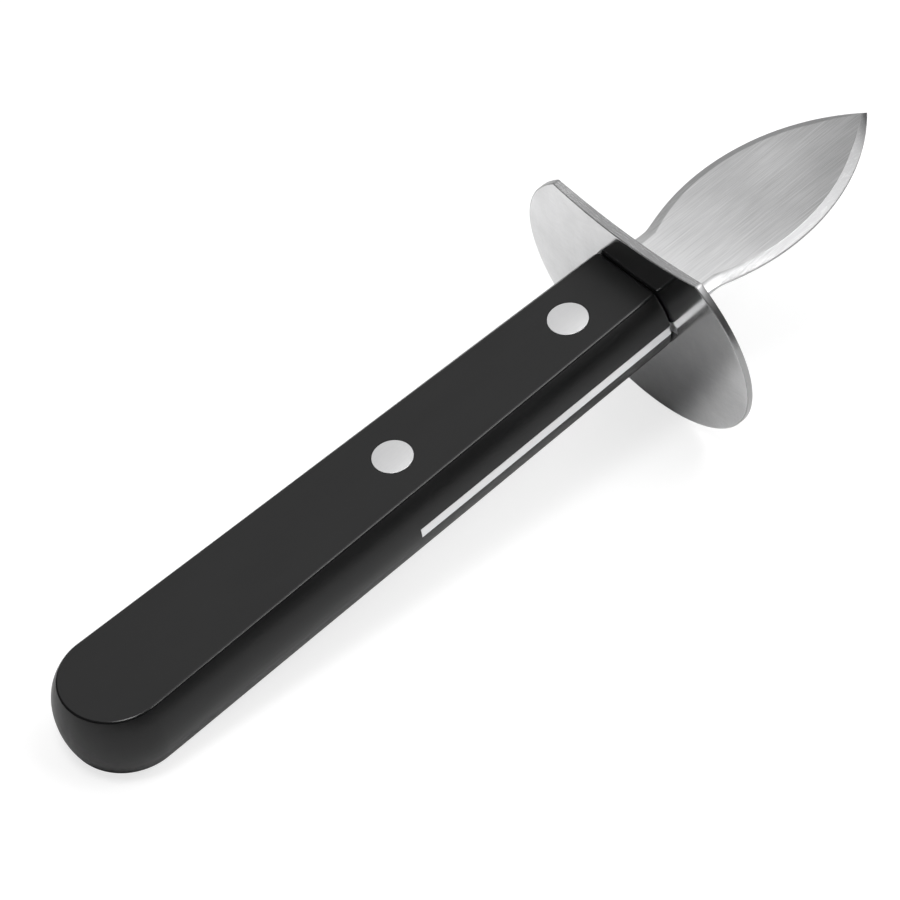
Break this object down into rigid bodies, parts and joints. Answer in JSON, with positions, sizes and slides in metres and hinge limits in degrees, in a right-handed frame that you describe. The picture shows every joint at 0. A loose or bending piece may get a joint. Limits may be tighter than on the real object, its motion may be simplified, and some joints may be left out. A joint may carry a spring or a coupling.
{
  "type": "oyster knife",
  "caption": "Oyster knife with a short leaf-shaped blade, an oval steel guard cut flat-topped, and a slim black riveted handle with a rounded butt.",
  "frame": {"origin": "middle of the front edge of the handle's lower flat, where the handle meets the guard", "axes": "+X along the knife towards the blade's tip, +Y across the blade, +Z square to the handle's flats, towards the guard's cut top"},
  "size_m": [0.1537, 0.0454, 0.0361],
  "materials": {
    "blade_steel": "brushed lengthwise",
    "guard_steel": "polished, with faint rubbing",
    "handle_plastic": "satin black",
    "rivet_steel": "fine ground flush"
  },
  "bodies": {
    "root": {"blade": "blade_steel", "guard": "guard_steel", "handle": "handle_plastic", "rivet_front_tube": "rivet_steel", "rivet_front_pin": "rivet_steel", "rivet_rear_tube": "rivet_steel", "rivet_rear_pin": "rivet_steel"}
  },
  "joints": []
}
